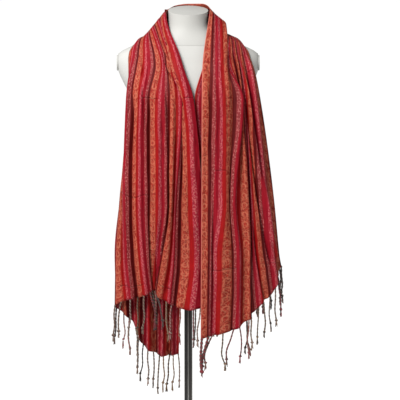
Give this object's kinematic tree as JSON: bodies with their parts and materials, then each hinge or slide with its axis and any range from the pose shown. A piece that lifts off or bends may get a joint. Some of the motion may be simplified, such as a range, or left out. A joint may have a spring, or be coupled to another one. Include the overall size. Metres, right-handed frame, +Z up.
{
  "type": "striped scarf on dress form stand",
  "caption": "Wide fringed striped scarf, folded lengthwise and draped over the neck and shoulders of a headless, armless dress form on a pole stand.",
  "frame": {"origin": "middle of the underside of the stand's base plate, on the floor", "axes": "+Z up along the pole, -Y to the front of the form, +X to the right as seen from the front"},
  "size_m": [0.4744, 0.36, 1.4926],
  "materials": {
    "cloth": "lengthwise stripes in reds, coral, pink and dark maroon, slight sheen",
    "fringe": "twisted and knotted warp yarns in grey, olive, beige and crimson",
    "form": "smooth off-white satin shell",
    "stand": "charcoal powder coat, satin"
  },
  "bodies": {
    "root": {"scarf_back": "cloth", "scarf_left_front": "cloth", "scarf_right_front": "cloth", "fringe_left": "fringe", "fringe_right": "fringe", "form_torso": "form", "form_arm_plate_left": "form", "form_arm_plate_right": "form", "form_flange": "stand", "stand_pole": "stand", "stand_base": "stand"}
  },
  "joints": []
}
